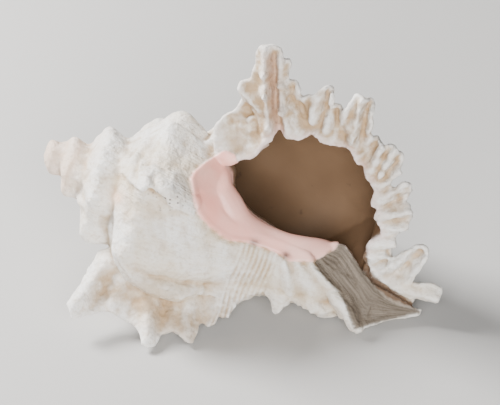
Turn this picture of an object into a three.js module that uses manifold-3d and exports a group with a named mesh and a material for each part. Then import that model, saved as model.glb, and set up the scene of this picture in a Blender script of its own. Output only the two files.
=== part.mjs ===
// Murex shell, one grown piece, lying on its varix spines with the aperture turned up and forward.
// Units are millimetres. +Z is up, +X runs towards the siphonal canal, the aperture faces -Y.
//
// Every surface is worked out in shell coordinates: s runs down the axis from the apex, r is the distance
// from the axis, and "back" is the growth angle, in degrees, counted back from the finished outer lip.
// A turn about the axis is counted from straight up, growing towards the front.

import * as THREE from 'three';
import Module from 'manifold-3d';

// Lie of the shell on the surface: the apex, and how the axis falls and is turned.
const APEX = new THREE.Vector3(-85.5, 16, 56);
const AXIS_DIP = 16.8;
const AXIS_HEADING = -16.1;
const LIP_TURN = -10;

// Growth: [growth angle back, radius of the shoulder].
const SHOULDER_RADII = [
  [0, 46], [120, 38.5], [170, 36.3], [225, 35], [390, 32], [570, 26.5], [750, 18.5], [930, 13.5],
  [1110, 10.4], [1290, 8], [1500, 6.2],
];
const TURN = 360;
const SUTURE_RATIO = 1.35;
const SUTURE_SCALE = 50.8;
const SUTURE_SCALE_BACK = 390;
const VIRTUAL_APEX = 21;
const LIP_DESCENT = 13;
const LIP_DESCENT_SPAN = 110;
const LIP_FLARE_SPAN = 44;
// How far the shoulder lies past the suture: [growth angle back, share of the shoulder's radius].
const SHOULDER_RISE = [
  [0, 0.32], [225, 0.34], [300, 0.4], [330, 0.45], [370, 0.56], [392, 0.5], [418, 0.28], [560, 0.3],
  [730, 0.25], [1100, 0.2],
];
const LAST_WHORL_SPAN = 328;
const OLDER_SPANS = [[682, 318], [1010, 672], [1330, 1000], [1500, 1320]];
const APEX_KNOB = { s: 6.6, radius: 6.8 };

// Openings, walls and core.
const WALL = 3.4;
const CAVITY_START_BACK = 270;
const CAVITY_CORE = 3;
const COLUMELLA = [[30, 8], [118, 8], [140, 6.5], [166, 2.5]];
const CANAL_HALF_WIDTH = 2.6;

// Knobs on the shoulder between varices:
// [growth angle back, width in degrees, share of the radius, reach along the whorl in radii].
const KNOBS = [
  [55, 12, 0.08, 0.8], [85, 13, 0.08, 0.6], [155, 13, 0.05, 0.5], [190, 12, 0.06, 0.5],
  [258, 15, 0.14, 1.1], [308, 12, 0.24, 0.5], [372, 15, 0.28, 0.5], [418, 13, 0.16, 0.5],
  [465, 13, 0.2, 0.5], [510, 13, 0.1, 0.5], [548, 12, 0.1, 0.5], [590, 12, 0.2, 0.5], [635, 12, 0.1, 0.5],
  [680, 12, 0.12, 0.5], [718, 12, 0.14, 0.5], [758, 12, 0.16, 0.5], [802, 13, 0.1, 0.5],
  [850, 14, 0.14, 0.5], [900, 15, 0.12, 0.5], [950, 15, 0.14, 0.5], [1005, 16, 0.1, 0.5],
  [1065, 18, 0.12, 0.5], [1125, 20, 0.12, 0.5],
];
// Outline past the shoulder: [distance in shoulder radii, share of the shoulder radius].
const WHORL_OUTLINE = [[0, 1], [0.28, 0.99], [0.55, 0.95], [0.85, 0.84], [1.15, 0.7], [1.45, 0.6]];
const OLD_WHORL_END = [1.75, 0.28];
// Outlines as [s, r]: the outside of the canal, the outside of the lip, and the aperture inside the lip.
const CANAL_OUTLINE = [[124, 17.5], [138, 14.5], [150, 11.5], [161, 8], [172, 4]];
const LIP_OUTLINE = [
  [63, 35], [69, 45], [76, 54], [84, 60], [94, 63], [106, 64.5], [118, 64], [127, 61], [136, 56],
  [144, 48], [150, 38], [153, 27], [157, 17], [164, 11], [172, 5.5],
];
const APERTURE_OUTLINE = [
  [75, 25], [80, 33], [85, 43], [88, 52], [94, 57.5], [106, 59.5], [119, 59], [127, 55], [134, 49.5],
  [140, 41], [145, 31], [146, 20], [146, 12],
];
// The wall dissolved away in front of the mouth, one whorl back from the lip: [s, radius that is left].
const PARIETAL_WALL = [
  [70, 60], [75, 34], [78, 28], [80.5, 20], [85, 14.5], [94, 11], [104, 9.5], [118, 9.5], [140, 7], [172, 3],
];
const PARIETAL_FROM = 340;
const PARIETAL_SPAN = 75;
const MOUTH_REACH = 420;
const UNWORN_RADIUS = 80;
// The canal's wall steps down beside the plate: [growth angle back, s of the step], and [s, radius left].
const CANAL_STEP = [[225, 156], [275, 143], [300, 126], [330, 121]];
const CANAL_LEFT = [[118, 10.5], [138, 9], [150, 7], [161, 5], [172, 2.5]];
const CANAL_STEP_FROM = 215;
const CANAL_STEP_SPAN = 2.5;
// The ribbed plate beside the canal, from its crest to its low edge, as [s, rise, height towards the eye].
const PLATE_CREST = [
  [126, 13, 9], [135, 14.5, 9.5], [141, 10, 9], [147, 5.8, 8], [155, 1.6, 6], [162, -0.6, 4],
  [170, -0.5, 2.5], [177, 0, 1.5],
];
const PLATE_LOW_EDGE = [
  [124, 3, 12], [130, -1, 12.5], [138, -5, 11.5], [143.6, -8, 10], [149, -14, 8], [153, -18.5, 6],
  [164, -9.5, 3.5], [176, -1.2, 1.2],
];
const PLATE_WIDTH = 2.6;
const PLATE_STATIONS = 14;
const SIGHT_TURN = -40;
const OUTLINE_STEPS = 18;
const CAVITY_STEPS = 12;

// Free edges of the three varices of the last whorl, as [s, r], from the suture end to the canal.
const LIP_EDGE = [
  [63, 40], [66, 49], [70, 56], [70, 61], [66, 66], [68, 70], [70, 75], [68, 84], [68, 90], [73, 93],
  [80, 92], [84, 88], [86, 82], [92, 77], [94, 74], [102, 84], [108, 81], [111, 76], [116, 86],
  [121, 86], [125, 82], [126, 70], [132, 70], [138, 71], [144, 66], [145, 60], [143, 52], [149, 58],
  [153, 53], [154, 47], [157, 43], [158, 35], [155, 29], [157, 25], [152, 20], [163, 29], [169, 30],
  [170, 24], [167, 12], [181, 14], [180, 6], [171, 4],
];
const FRONT_EDGE = [
  [39, 33], [38, 42], [37, 51], [36, 59], [39, 64], [44, 62], [50, 56], [60, 55.5], [68, 57], [72, 64],
  [76, 64], [79, 55], [85, 53], [88, 56], [91, 54], [93, 46], [98, 42], [102, 36], [105, 26], [111, 21],
  [118, 21], [120, 25], [122, 24], [124, 19.5], [131, 19], [137, 20], [143, 18], [150, 19], [153, 22.5],
  [157, 21], [157, 13], [156, 8],
];
const BACK_EDGE = [
  [52, 38], [50, 47], [52, 57], [57, 64.5], [62, 63.5], [66, 52], [71, 50], [75, 57], [79, 55.5], [82, 46],
  [86, 45], [90, 49.5], [94, 48], [97, 39], [102, 36], [106, 42], [110, 40.5], [113, 31], [119, 27],
  [124, 31], [128, 22], [137, 18], [143, 21], [147, 14], [156, 9],
];
const VARIX_GROWTH = { lip: 3, back: 120, front: 225 };
const VARIX_ROOT_WIDTH = { lip: 9, older: 22 };
const VARIX_MIDDLE_WIDTH = { lip: 6.5, older: 10 };
const VARIX_EDGE_WIDTH = 3.4;
const WIDEST_SHARE = 0.5;
const ROOT_DEPTH = 2.5;

const DEG = Math.PI / 180;
const CORE_RADIUS = 0.6;

const wasm = await Module();
wasm.setup();

// The axis, and the two directions square to it: up, and out to the front.
const axis = new THREE.Vector3(
  Math.cos(AXIS_DIP * DEG) * Math.cos(AXIS_HEADING * DEG),
  Math.cos(AXIS_DIP * DEG) * Math.sin(AXIS_HEADING * DEG),
  -Math.sin(AXIS_DIP * DEG));
const up = new THREE.Vector3(0, 0, 1).addScaledVector(axis, -axis.z).normalize();
const front = new THREE.Vector3().crossVectors(axis, up);

function place(s, r, turn, aside = 0) {
  const a = turn * DEG;
  const out = up.clone().multiplyScalar(Math.cos(a)).addScaledVector(front, Math.sin(a));
  const round = front.clone().multiplyScalar(Math.cos(a)).addScaledVector(up, -Math.sin(a));
  return APEX.clone().addScaledVector(axis, s).addScaledVector(out, r).addScaledVector(round, aside);
}

const turnAt = (back) => LIP_TURN - back;
const bell = (x, width) => Math.exp(-((x / width) ** 2));
const mix = (a, b, t) => a + (b - a) * t;
const clamp = (x) => Math.min(Math.max(x, 0), 1);

// Values from one number to another, both ends included, about one size apart.
function steps(from, to, size) {
  const count = Math.max(1, Math.round(Math.abs(to - from) / size));
  return Array.from({ length: count + 1 }, (_, i) => mix(from, to, i / count));
}

// Straight-line reading of a row of [x, y] points.
function read(points, x) {
  const next = points.findIndex((point) => x <= point[0]);
  if (next === 0) return points[0][1];
  if (next < 0) return points[points.length - 1][1];
  const [x0, y0] = points[next - 1];
  const [x1, y1] = points[next];
  return mix(y0, y1, (x - x0) / (x1 - x0));
}

// A smooth curve through [s, r] points, read at even steps along its length.
function evenSteps(points, count) {
  const curve = new THREE.CatmullRomCurve3(
    points.map(([s, r]) => new THREE.Vector3(s, r, 0)), false, 'centripetal');
  return curve.getSpacedPoints(count).map((p) => [p.x, Math.max(p.y, 1)]);
}

// Point by point mix of two outlines with the same number of points.
const mixOutlines = (from, to, share) =>
  from.map(([s, r], i) => [mix(s, to[i][0], share), mix(r, to[i][1], share)]);

const shoulderRadius = (back) => read(SHOULDER_RADII, back);
const sutureHeight = (back) =>
  SUTURE_SCALE * SUTURE_RATIO ** ((SUTURE_SCALE_BACK - back) / TURN) - VIRTUAL_APEX
  + LIP_DESCENT * Math.exp(-back / LIP_DESCENT_SPAN);
const knobShare = (back, along) =>
  KNOBS.reduce((sum, [at, width, share, reach]) => sum + share * bell(back - at, width) * bell(along, reach), 0);

// Outside of a whorl, as [s, r], from the suture down to the canal or to an old whorl's hidden end.
function grownOutline(back, withCanal) {
  const radius = shoulderRadius(back);
  const suture = sutureHeight(back);
  const sutureRadius = shoulderRadius(back + TURN) - 1;
  const shoulder = suture + read(SHOULDER_RISE, back) * radius;
  const slope = mix(sutureRadius, radius, 0.5) + 0.4 * knobShare(back, 0) * radius;
  const points = [[suture, sutureRadius], [mix(suture, shoulder, 0.45), slope]];
  for (const [along, share] of WHORL_OUTLINE) {
    points.push([shoulder + along * radius, (share + knobShare(back, along)) * radius]);
  }
  const last = points[points.length - 1][0];
  if (withCanal) points.push(...CANAL_OUTLINE.filter(([s]) => s > last + 6));
  else points.push([shoulder + OLD_WHORL_END[0] * radius, OLD_WHORL_END[1] * radius]);
  return evenSteps(points, OUTLINE_STEPS);
}

const lastWhorlOutline = (back) =>
  mixOutlines(grownOutline(back, true), evenSteps(LIP_OUTLINE, OUTLINE_STEPS), bell(back, LIP_FLARE_SPAN));

// An outline worn down to the parietal wall near the mouth, and to the step beside the canal's plate.
function hollowed(outline, back) {
  const ease = clamp((PARIETAL_FROM - back) / PARIETAL_SPAN) ** 2;
  return outline.map(([s, radius]) => {
    let r = Math.min(radius, mix(read(PARIETAL_WALL, s), UNWORN_RADIUS, ease));
    if (back > CANAL_STEP_FROM) {
      const drop = clamp((s - read(CANAL_STEP, back)) / CANAL_STEP_SPAN);
      r = mix(r, Math.min(r, read(CANAL_LEFT, s)), drop);
    }
    return [s, r];
  });
}

// A closed solid, turned so that its faces point out.
function solid(positions, triangles) {
  const volume = triangles.reduce(
    (sum, [a, b, c]) => sum + positions[a].dot(positions[b].clone().cross(positions[c])), 0);
  const faces = volume < 0 ? triangles.map(([a, b, c]) => [a, c, b]) : triangles;
  return new wasm.Manifold(new wasm.Mesh({
    numProp: 3,
    vertProperties: new Float32Array(positions.flatMap((p) => [p.x, p.y, p.z])),
    triVerts: new Uint32Array(faces.flat()),
  }));
}

// Triangles that fill a flat outline, each running the same way round as the outline does.
function fill(outline) {
  const clockwise = THREE.ShapeUtils.isClockWise(outline);
  return THREE.ShapeUtils.triangulateShape(outline, []).map(([a, b, c]) =>
    (THREE.ShapeUtils.isClockWise([outline[a], outline[b], outline[c]]) === clockwise ? [a, b, c] : [a, c, b]));
}

// A closed solid through a row of rings of equal point count. ends holds the first and last ring laid flat.
function solidFromRings(rings, ends) {
  const count = rings[0].length;
  const triangles = [];
  for (let i = 0; i + 1 < rings.length; i++) {
    for (let j = 0; j < count; j++) {
      const a = i * count + j;
      const b = i * count + ((j + 1) % count);
      triangles.push([a, b, b + count], [a, b + count, a + count]);
    }
  }
  const lastRing = (rings.length - 1) * count;
  for (const [a, b, c] of fill(ends[0])) triangles.push([a, c, b]);
  for (const cap of fill(ends[1])) triangles.push(cap.map((i) => lastRing + i));
  return solid(rings.flat(), triangles);
}

// A body swept about the axis, from one closed outline [s, r] for each growth angle.
function sweep(backs, outlineAt) {
  const outlines = backs.map(outlineAt);
  const rings = outlines.map((outline, i) => outline.map(([s, r]) => place(s, r, turnAt(backs[i]))));
  const flat = (outline) => outline.map(([s, r]) => new THREE.Vector2(s, r));
  return solidFromRings(rings, [flat(outlines[0]), flat(outlines[outlines.length - 1])]);
}

// An outside outline closed along a line near the axis.
function closed(outline, radius, parts) {
  const first = outline[0][0];
  const last = outline[outline.length - 1][0];
  return [...outline, ...steps(0, 1, 1 / parts).map((t) => [mix(last, first, t), radius])];
}

function lastWhorl() {
  const backs = [...steps(LAST_WHORL_SPAN, 62, 9), ...steps(54, 0, 7)];
  return sweep(backs, (back) => closed(hollowed(lastWhorlOutline(back), back), CORE_RADIUS, 4));
}

function olderWhorls() {
  return OLDER_SPANS.map(([from, to], i) =>
    sweep(steps(from, to, 12 + 3 * i), (back) => {
      const outline = grownOutline(back, false);
      const nearMouth = back < MOUTH_REACH;
      return closed(nearMouth ? hollowed(outline, Math.min(back, TURN)) : outline, CORE_RADIUS, 2);
    }));
}

// The living space inside the last whorl, narrowing inwards and open at the lip.
function cavity() {
  const lip = evenSteps(APERTURE_OUTLINE, CAVITY_STEPS);
  const outlineAt = (back) => {
    const outside = hollowed(lastWhorlOutline(back), back);
    const wall = WALL + 0.02 * back;
    const start = outside[0][0] + wall + 1;
    const end = outside[0][0] + 1.85 * shoulderRadius(back);
    const inside = steps(start, end, 6).map((s) => [s, Math.max(read(outside, s) - wall, CAVITY_CORE + 2)]);
    const grown = evenSteps(inside, CAVITY_STEPS);
    return closed(mixOutlines(grown, lip, bell(back, 30)), CAVITY_CORE, 3);
  };
  const mouth = -2;
  const backs = [...steps(CAVITY_START_BACK, 40, 11), ...steps(33, 0, 8)];
  return sweep([...backs, mouth], (back) => outlineAt(Math.max(back, 0)));
}

// The siphonal canal: a slot open to the front, from the aperture to the tip.
// Each station is [s, distance of the slot's middle from the axis, half width].
function canalSlot() {
  const stations = [[133, 17, 7], [141, 12, 5.5], [147, 8.5, 3.6], [154, 4.5, CANAL_HALF_WIDTH],
    [162, 2.6, CANAL_HALF_WIDTH], [176, 1.6, CANAL_HALF_WIDTH]];
  const floorDepth = -2.5;
  const openSide = 45;
  const rings = stations.map(([s, middle, half]) =>
    [[middle - half, floorDepth], [middle + half, floorDepth], [middle + half, openSide],
      [middle - half, openSide]].map(([r, aside]) => place(s, r, SIGHT_TURN, aside)));
  const flat = [[0, 0], [1, 0], [1, 1], [0, 1]].map(([x, y]) => new THREE.Vector2(x, y));
  return solidFromRings(rings, [flat, flat]);
}

// The plate beside the canal: a thin slab between its crest and its low edge.
function canalPlate() {
  const across = place(0, 1, SIGHT_TURN).sub(APEX);
  const sight = place(0, 1, SIGHT_TURN + 90).sub(APEX);
  const at = ([s, rise, height], sink) => APEX.clone().addScaledVector(axis, s)
    .addScaledVector(across, rise).addScaledVector(sight, height - sink);
  const along = (points) => new THREE.CatmullRomCurve3(
    points.map((point) => new THREE.Vector3(...point)), false, 'centripetal').getSpacedPoints(PLATE_STATIONS);
  const lowEdge = along(PLATE_LOW_EDGE);
  const rings = along(PLATE_CREST).map((crest, i) => {
    const top = crest.toArray();
    const low = lowEdge[i].toArray();
    const half = PLATE_WIDTH / 2;
    return [at(top, -half), at(low, -half), at(low, half), at(top, half)];
  });
  const flat = [[0, 1], [1, 1], [1, 0], [0, 0]].map(([x, y]) => new THREE.Vector2(x, y));
  return solidFromRings(rings, [flat, flat]);
}

function columella() {
  const backs = steps(0, TURN - TURN / 18, TURN / 18);
  const rings = COLUMELLA.map(([s, r]) => backs.map((back) => place(s, r, back)));
  const flat = backs.map((back) => new THREE.Vector2(Math.cos(back * DEG), Math.sin(back * DEG)));
  return solidFromRings(rings, [flat, flat]);
}

// A varix: a tapering plate along the half plane of its growth angle, from the whorl out to its free edge.
function varix(back, age, rootOutline, edge) {
  const root = evenSteps(rootOutline, 90);
  let reached = 0;
  const rings = edge.map(([s, r]) => {
    const gaps = root.map(([rs, rr]) => Math.hypot(s - rs, r - rr));
    reached = Math.max(reached, gaps.indexOf(Math.min(...gaps)));
    const [rootS, rootR] = root[reached];
    const foot = [rootS, Math.max(rootR - ROOT_DEPTH, CORE_RADIUS)];
    const middle = [mix(foot[0], s, 0.5), mix(foot[1], r, 0.5)];
    const rows = [[foot, VARIX_ROOT_WIDTH[age]], [middle, VARIX_MIDDLE_WIDTH[age]], [[s, r], VARIX_EDGE_WIDTH]];
    const side = (sign) => rows.map(([[ps, pr], width]) =>
      place(ps, pr, turnAt(back), sign * Math.min(width, WIDEST_SHARE * pr) / 2));
    return [...side(1), ...side(-1).reverse()];
  });
  const flat = [[0, 0], [0, 1], [0, 2], [1, 2], [1, 1], [1, 0]].map(([x, y]) => new THREE.Vector2(x, y));
  return solidFromRings(rings, [flat, flat]);
}

function apexKnob() {
  const geometry = new THREE.IcosahedronGeometry(APEX_KNOB.radius, 2);
  return fromGeometry(geometry, place(APEX_KNOB.s, 0, 0));
}

function fromGeometry(geometry, at) {
  const merged = new Map();
  const positions = [];
  const source = (geometry.index ? geometry.toNonIndexed() : geometry).getAttribute('position');
  const index = Array.from({ length: source.count }, (_, i) => {
    const p = new THREE.Vector3().fromBufferAttribute(source, i);
    const key = p.toArray().map((x) => x.toFixed(3)).join(' ');
    if (!merged.has(key)) {
      merged.set(key, positions.length);
      positions.push(p.add(at));
    }
    return merged.get(key);
  });
  const triangles = Array.from({ length: index.length / 3 }, (_, i) => index.slice(3 * i, 3 * i + 3));
  return solid(positions, triangles);
}

// Everything below the surface is worn off, so the spine tips end in small flats.
function belowFloor() {
  const size = 400;
  return fromGeometry(new THREE.BoxGeometry(size, size, size), new THREE.Vector3(0, 0, -size / 2));
}

const join = (solids) => solids.reduce((sum, next) => sum.add(next));

// The main body alone: no loose chips from the cuts, and no pocket sealed in the walls.
function largest(solids) {
  return solids.decompose().reduce((best, next) => (next.volume() > best.volume() ? next : best));
}

function murexShell() {
  const hollowWhorl = lastWhorl().subtract(cavity());
  const grown = join([
    hollowWhorl, ...olderWhorls(), columella(), canalPlate(), apexKnob(),
    varix(VARIX_GROWTH.back, 'older', lastWhorlOutline(VARIX_GROWTH.back), BACK_EDGE),
    varix(VARIX_GROWTH.front, 'older', lastWhorlOutline(VARIX_GROWTH.front), FRONT_EDGE),
    varix(VARIX_GROWTH.lip, 'lip', LIP_OUTLINE, LIP_EDGE),
  ]);
  return largest(grown.subtract(canalSlot()).subtract(belowFloor()));
}

function toGeometry(manifold) {
  const { vertProperties, triVerts, numProp } = manifold.getMesh();
  const positions = new Float32Array((vertProperties.length / numProp) * 3);
  for (let i = 0; i * numProp < vertProperties.length; i++) {
    positions.set(vertProperties.subarray(i * numProp, i * numProp + 3), 3 * i);
  }
  const geometry = new THREE.BufferGeometry();
  geometry.setAttribute('position', new THREE.BufferAttribute(positions, 3));
  geometry.setIndex(new THREE.BufferAttribute(new Uint32Array(triVerts), 1));
  geometry.computeVertexNormals();
  return geometry;
}

const chalkyShell = new THREE.MeshStandardMaterial({ color: 0xe9e4da, roughness: 0.7, metalness: 0 });
const shell = new THREE.Mesh(toGeometry(murexShell()), chalkyShell);
shell.name = 'murex_shell';

const model = new THREE.Group();
model.add(shell);

export default model;
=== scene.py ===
# %% [markdown]
# A bleached murex shell
#
# This lesson dresses one murex shell: a sea snail's shell that lay in the sun and the surf until it went
# chalky white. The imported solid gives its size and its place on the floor. Here the shell is grown again
# from the same laws, fine enough to show its knobs, spines, frilled lip, cords and stains.

# %% Load the frame and keep the solid's box
import math

import bpy
import numpy as np
from mathutils import Euler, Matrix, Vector
from mathutils.bvhtree import BVHTree


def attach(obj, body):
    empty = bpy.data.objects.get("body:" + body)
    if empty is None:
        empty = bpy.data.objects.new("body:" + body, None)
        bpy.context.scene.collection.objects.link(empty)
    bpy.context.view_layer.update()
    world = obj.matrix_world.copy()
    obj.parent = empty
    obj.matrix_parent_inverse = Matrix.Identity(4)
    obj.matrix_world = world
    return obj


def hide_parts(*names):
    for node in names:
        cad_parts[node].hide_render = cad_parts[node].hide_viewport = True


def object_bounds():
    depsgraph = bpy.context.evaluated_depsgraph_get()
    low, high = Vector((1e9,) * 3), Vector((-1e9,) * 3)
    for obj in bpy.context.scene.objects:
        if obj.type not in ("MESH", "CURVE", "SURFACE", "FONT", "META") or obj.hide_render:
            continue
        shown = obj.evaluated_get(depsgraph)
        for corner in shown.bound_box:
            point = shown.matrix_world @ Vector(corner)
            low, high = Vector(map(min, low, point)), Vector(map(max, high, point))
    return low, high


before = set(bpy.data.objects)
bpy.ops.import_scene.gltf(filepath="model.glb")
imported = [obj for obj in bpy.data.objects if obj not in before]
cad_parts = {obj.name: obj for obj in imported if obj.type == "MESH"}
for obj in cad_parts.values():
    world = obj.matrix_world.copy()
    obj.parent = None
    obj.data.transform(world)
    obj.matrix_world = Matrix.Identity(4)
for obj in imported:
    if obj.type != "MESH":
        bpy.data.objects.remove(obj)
cad_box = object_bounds()
MM = 0.001
solid_low, solid_high = (np.array(end) / MM for end in cad_box)
print("box of the solid, mm:", solid_low, solid_high)

# %% [markdown]
# The camera and the way the shell lies
#
# The photograph looks down on the shell at about 38 degrees, nearly square to the axis that the whorls
# turn about. A long lens keeps the near spines from swelling. Every point of the shell is then given by
# its distance s down the axis from the apex, its distance r from the axis, and its turn about the axis.

# %% Camera
LOOK_DOWN = math.radians(38)
CAMERA_DISTANCE = 2400 * MM
CAMERA_AIM = Vector((3.1, 0.7, 39.8)) * MM
LENS_MM = 400
SENSOR_MM = 36

camera_data = bpy.data.cameras.new("photo_camera")
camera_data.lens = LENS_MM
camera_data.sensor_width = SENSOR_MM
camera = bpy.data.objects.new("photo_camera", camera_data)
bpy.context.scene.collection.objects.link(camera)
camera.rotation_euler = Euler((math.radians(90) - LOOK_DOWN, 0, 0))
camera.location = CAMERA_AIM - Vector((0, math.cos(LOOK_DOWN), -math.sin(LOOK_DOWN))) * CAMERA_DISTANCE
bpy.context.scene.camera = camera

# %% Axis of the shell, in millimetres
APEX = np.array((-85.5, 16, 56))
AXIS_DIP = math.radians(16.8)
AXIS_HEADING = math.radians(-16.1)
LIP_TURN = -10
SIGHT_TURN = -40

axis = np.array((math.cos(AXIS_DIP) * math.cos(AXIS_HEADING),
                 math.cos(AXIS_DIP) * math.sin(AXIS_HEADING), -math.sin(AXIS_DIP)))
up = np.array((0, 0, 1)) - axis * axis[2]
up /= np.linalg.norm(up)
front = np.cross(axis, up)


def place(s, r, turn, aside=0.0):
    """Points in millimetres: s down the axis, r off it, at a turn in degrees, then aside along the turn."""
    s, r, turn, aside = np.broadcast_arrays(s, r, turn, aside)
    angle = np.radians(turn)[..., None]
    outward = up * np.cos(angle) + front * np.sin(angle)
    around = front * np.cos(angle) - up * np.sin(angle)
    return APEX + axis * s[..., None] + outward * r[..., None] + around * aside[..., None]


def shell_place(points):
    """The reverse of place: s, r and the turn of points in millimetres."""
    from_apex = points - APEX
    rise, reach = from_apex @ up, from_apex @ front
    return from_apex @ axis, np.hypot(rise, reach), np.degrees(np.arctan2(reach, rise))


print("axis:", axis.round(3), "up:", up.round(3), "front:", front.round(3))

# %% [markdown]
# Growth laws
#
# A snail builds its shell at the lip, so each whorl is the lip's outline as it was some growth angle ago.
# "Back" is that angle in degrees, counted from the finished lip. The shoulder's radius and the suture's
# place are read for any back, and everything else is stated as a share of them.

# %% Growth laws
SHOULDER_RADII = np.array((
    (0, 46), (120, 38.5), (170, 36.3), (225, 35), (390, 32), (570, 26.5), (750, 18.5), (930, 13.5),
    (1110, 10.4), (1290, 8), (1500, 6.2)))
SUTURE_RATIO = 1.35
SUTURE_SCALE = 50.8
VIRTUAL_APEX = 21
LIP_DESCENT = 13
LIP_DESCENT_SPAN = 110
LIP_FLARE_SPAN = 44
SHOULDER_RISE = np.array((
    (0, 0.32), (225, 0.34), (300, 0.4), (330, 0.45), (370, 0.56), (392, 0.5), (418, 0.28), (560, 0.3),
    (730, 0.25), (1100, 0.2)))
LAST_WHORL_SPAN = 328
WHORL_OUTLINE = ((0, 1), (0.28, 0.99), (0.55, 0.95), (0.85, 0.84), (1.15, 0.7), (1.45, 0.6))
OLD_WHORL_END = (1.75, 0.28)
CANAL_OUTLINE = ((124, 17.5), (138, 14.5), (150, 11.5), (161, 8), (172, 4))
LIP_OUTLINE = (
    (63, 35), (69, 45), (76, 54), (84, 60), (94, 63), (106, 64.5), (118, 64), (127, 61), (136, 56),
    (144, 48), (150, 38), (153, 27), (157, 17), (164, 11), (172, 5.5))
# Knobs between varices: growth angle back, width in degrees, share of the radius, reach in radii.
KNOBS = (
    (55, 12, 0.08, 0.8), (85, 13, 0.08, 0.6), (155, 13, 0.05, 0.5), (190, 12, 0.06, 0.5),
    (258, 15, 0.14, 1.1), (308, 12, 0.24, 0.5), (372, 15, 0.28, 0.5), (418, 13, 0.16, 0.5),
    (465, 13, 0.2, 0.5), (510, 13, 0.1, 0.5), (548, 12, 0.1, 0.5), (590, 12, 0.2, 0.5),
    (635, 12, 0.1, 0.5), (680, 12, 0.12, 0.5), (718, 12, 0.14, 0.5), (758, 12, 0.16, 0.5),
    (802, 13, 0.1, 0.5), (850, 14, 0.14, 0.5), (900, 15, 0.12, 0.5), (950, 15, 0.14, 0.5),
    (1005, 16, 0.1, 0.5), (1065, 18, 0.12, 0.5), (1125, 20, 0.12, 0.5))


def bell(x, width):
    return np.exp(-(np.asarray(x, float) / width) ** 2)


def mix(a, b, t):
    return a + (b - a) * t


def ramp(value, start, end):
    """0 before the start, 1 past the end, and even in between; the end may lie below the start."""
    return np.clip((value - start) / (end - start), 0, 1)


def shoulder_radius(back):
    return np.interp(back, SHOULDER_RADII[:, 0], SHOULDER_RADII[:, 1])


def suture_place(back):
    grown = SUTURE_SCALE * SUTURE_RATIO ** ((390 - np.asarray(back, float)) / 360) - VIRTUAL_APEX
    return grown + LIP_DESCENT * np.exp(-np.asarray(back, float) / LIP_DESCENT_SPAN)


def shoulder_rise(back):
    return np.interp(back, SHOULDER_RISE[:, 0], SHOULDER_RISE[:, 1])


def knob_share(back, along):
    return sum(share * bell(back - at, width) * bell(along, reach) for at, width, share, reach in KNOBS)


def even_steps(points, count):
    """A smooth curve through points, read at even steps along its length."""
    points = np.asarray(points, float)
    gaps = np.sqrt(np.linalg.norm(np.diff(points, axis=0), axis=1))
    slopes = np.diff(points, axis=0) / gaps[:, None]
    inner = (slopes[:-1] * gaps[1:, None] + slopes[1:] * gaps[:-1, None]) / (gaps[:-1] + gaps[1:])[:, None]
    tangents = np.vstack((slopes[:1], inner, slopes[-1:]))
    t = np.linspace(0, 1, 12, endpoint=False)[None, :, None]
    a, b = points[:-1, None], points[1:, None]
    ta, tb = tangents[:-1, None] * gaps[:, None, None], tangents[1:, None] * gaps[:, None, None]
    curve = (a * (2 * t ** 3 - 3 * t ** 2 + 1) + ta * (t ** 3 - 2 * t ** 2 + t)
             + b * (3 * t ** 2 - 2 * t ** 3) + tb * (t ** 3 - t ** 2))
    curve = np.vstack((curve.reshape(-1, points.shape[1]), points[-1:]))
    length = np.concatenate(([0], np.cumsum(np.linalg.norm(np.diff(curve, axis=0), axis=1))))
    even = np.linspace(0, length[-1], count + 1)
    return np.stack([np.interp(even, length, curve[:, i]) for i in range(points.shape[1])], axis=1)


OUTLINE_STEPS = 60
SUTURE_OVERLAP = 1
SLOPE_KNOB_SHARE = 0.4
CANAL_JOIN = 6


def grown_outline(back, with_canal):
    """Outside of a whorl as (s, r), from the suture down to the canal or to an old whorl's hidden end."""
    radius, suture = shoulder_radius(back), float(suture_place(back))
    inner = shoulder_radius(back + 360) - SUTURE_OVERLAP
    shoulder = suture + shoulder_rise(back) * radius
    slope = mix(inner, radius, 0.5) + SLOPE_KNOB_SHARE * knob_share(back, 0) * radius
    points = [(suture, inner), (mix(suture, shoulder, 0.45), slope)]
    points += [(shoulder + along * radius, (share + knob_share(back, along)) * radius)
               for along, share in WHORL_OUTLINE]
    last = points[-1][0]
    points += ([point for point in CANAL_OUTLINE if point[0] > last + CANAL_JOIN] if with_canal
               else [(shoulder + OLD_WHORL_END[0] * radius, OLD_WHORL_END[1] * radius)])
    return even_steps(points, OUTLINE_STEPS)


def last_whorl_outline(back):
    return mix(grown_outline(back, True), even_steps(LIP_OUTLINE, OUTLINE_STEPS), bell(back, LIP_FLARE_SPAN))


# The snail dissolves the old wall in front of its mouth: (s, radius left) at the mouth.
PARIETAL_WALL = np.array((
    (70, 60), (75, 34), (78, 28), (80.5, 20), (85, 14.5), (94, 11), (104, 9.5), (118, 9.5), (140, 7),
    (172, 3)), float)
PARIETAL_FROM, PARIETAL_FULL = 340, 265
UNWORN_RADIUS = 80
# The canal's wall steps down beside the plate: (growth angle back, s of the step), and what is left.
CANAL_STEP = np.array(((225, 156), (275, 143), (300, 126), (330, 121)), float)
CANAL_LEFT = np.array(((118, 10.5), (138, 9), (150, 7), (161, 5), (172, 2.5)), float)
CANAL_STEP_FROM = 215
CANAL_STEP_SPAN = 2.5


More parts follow.
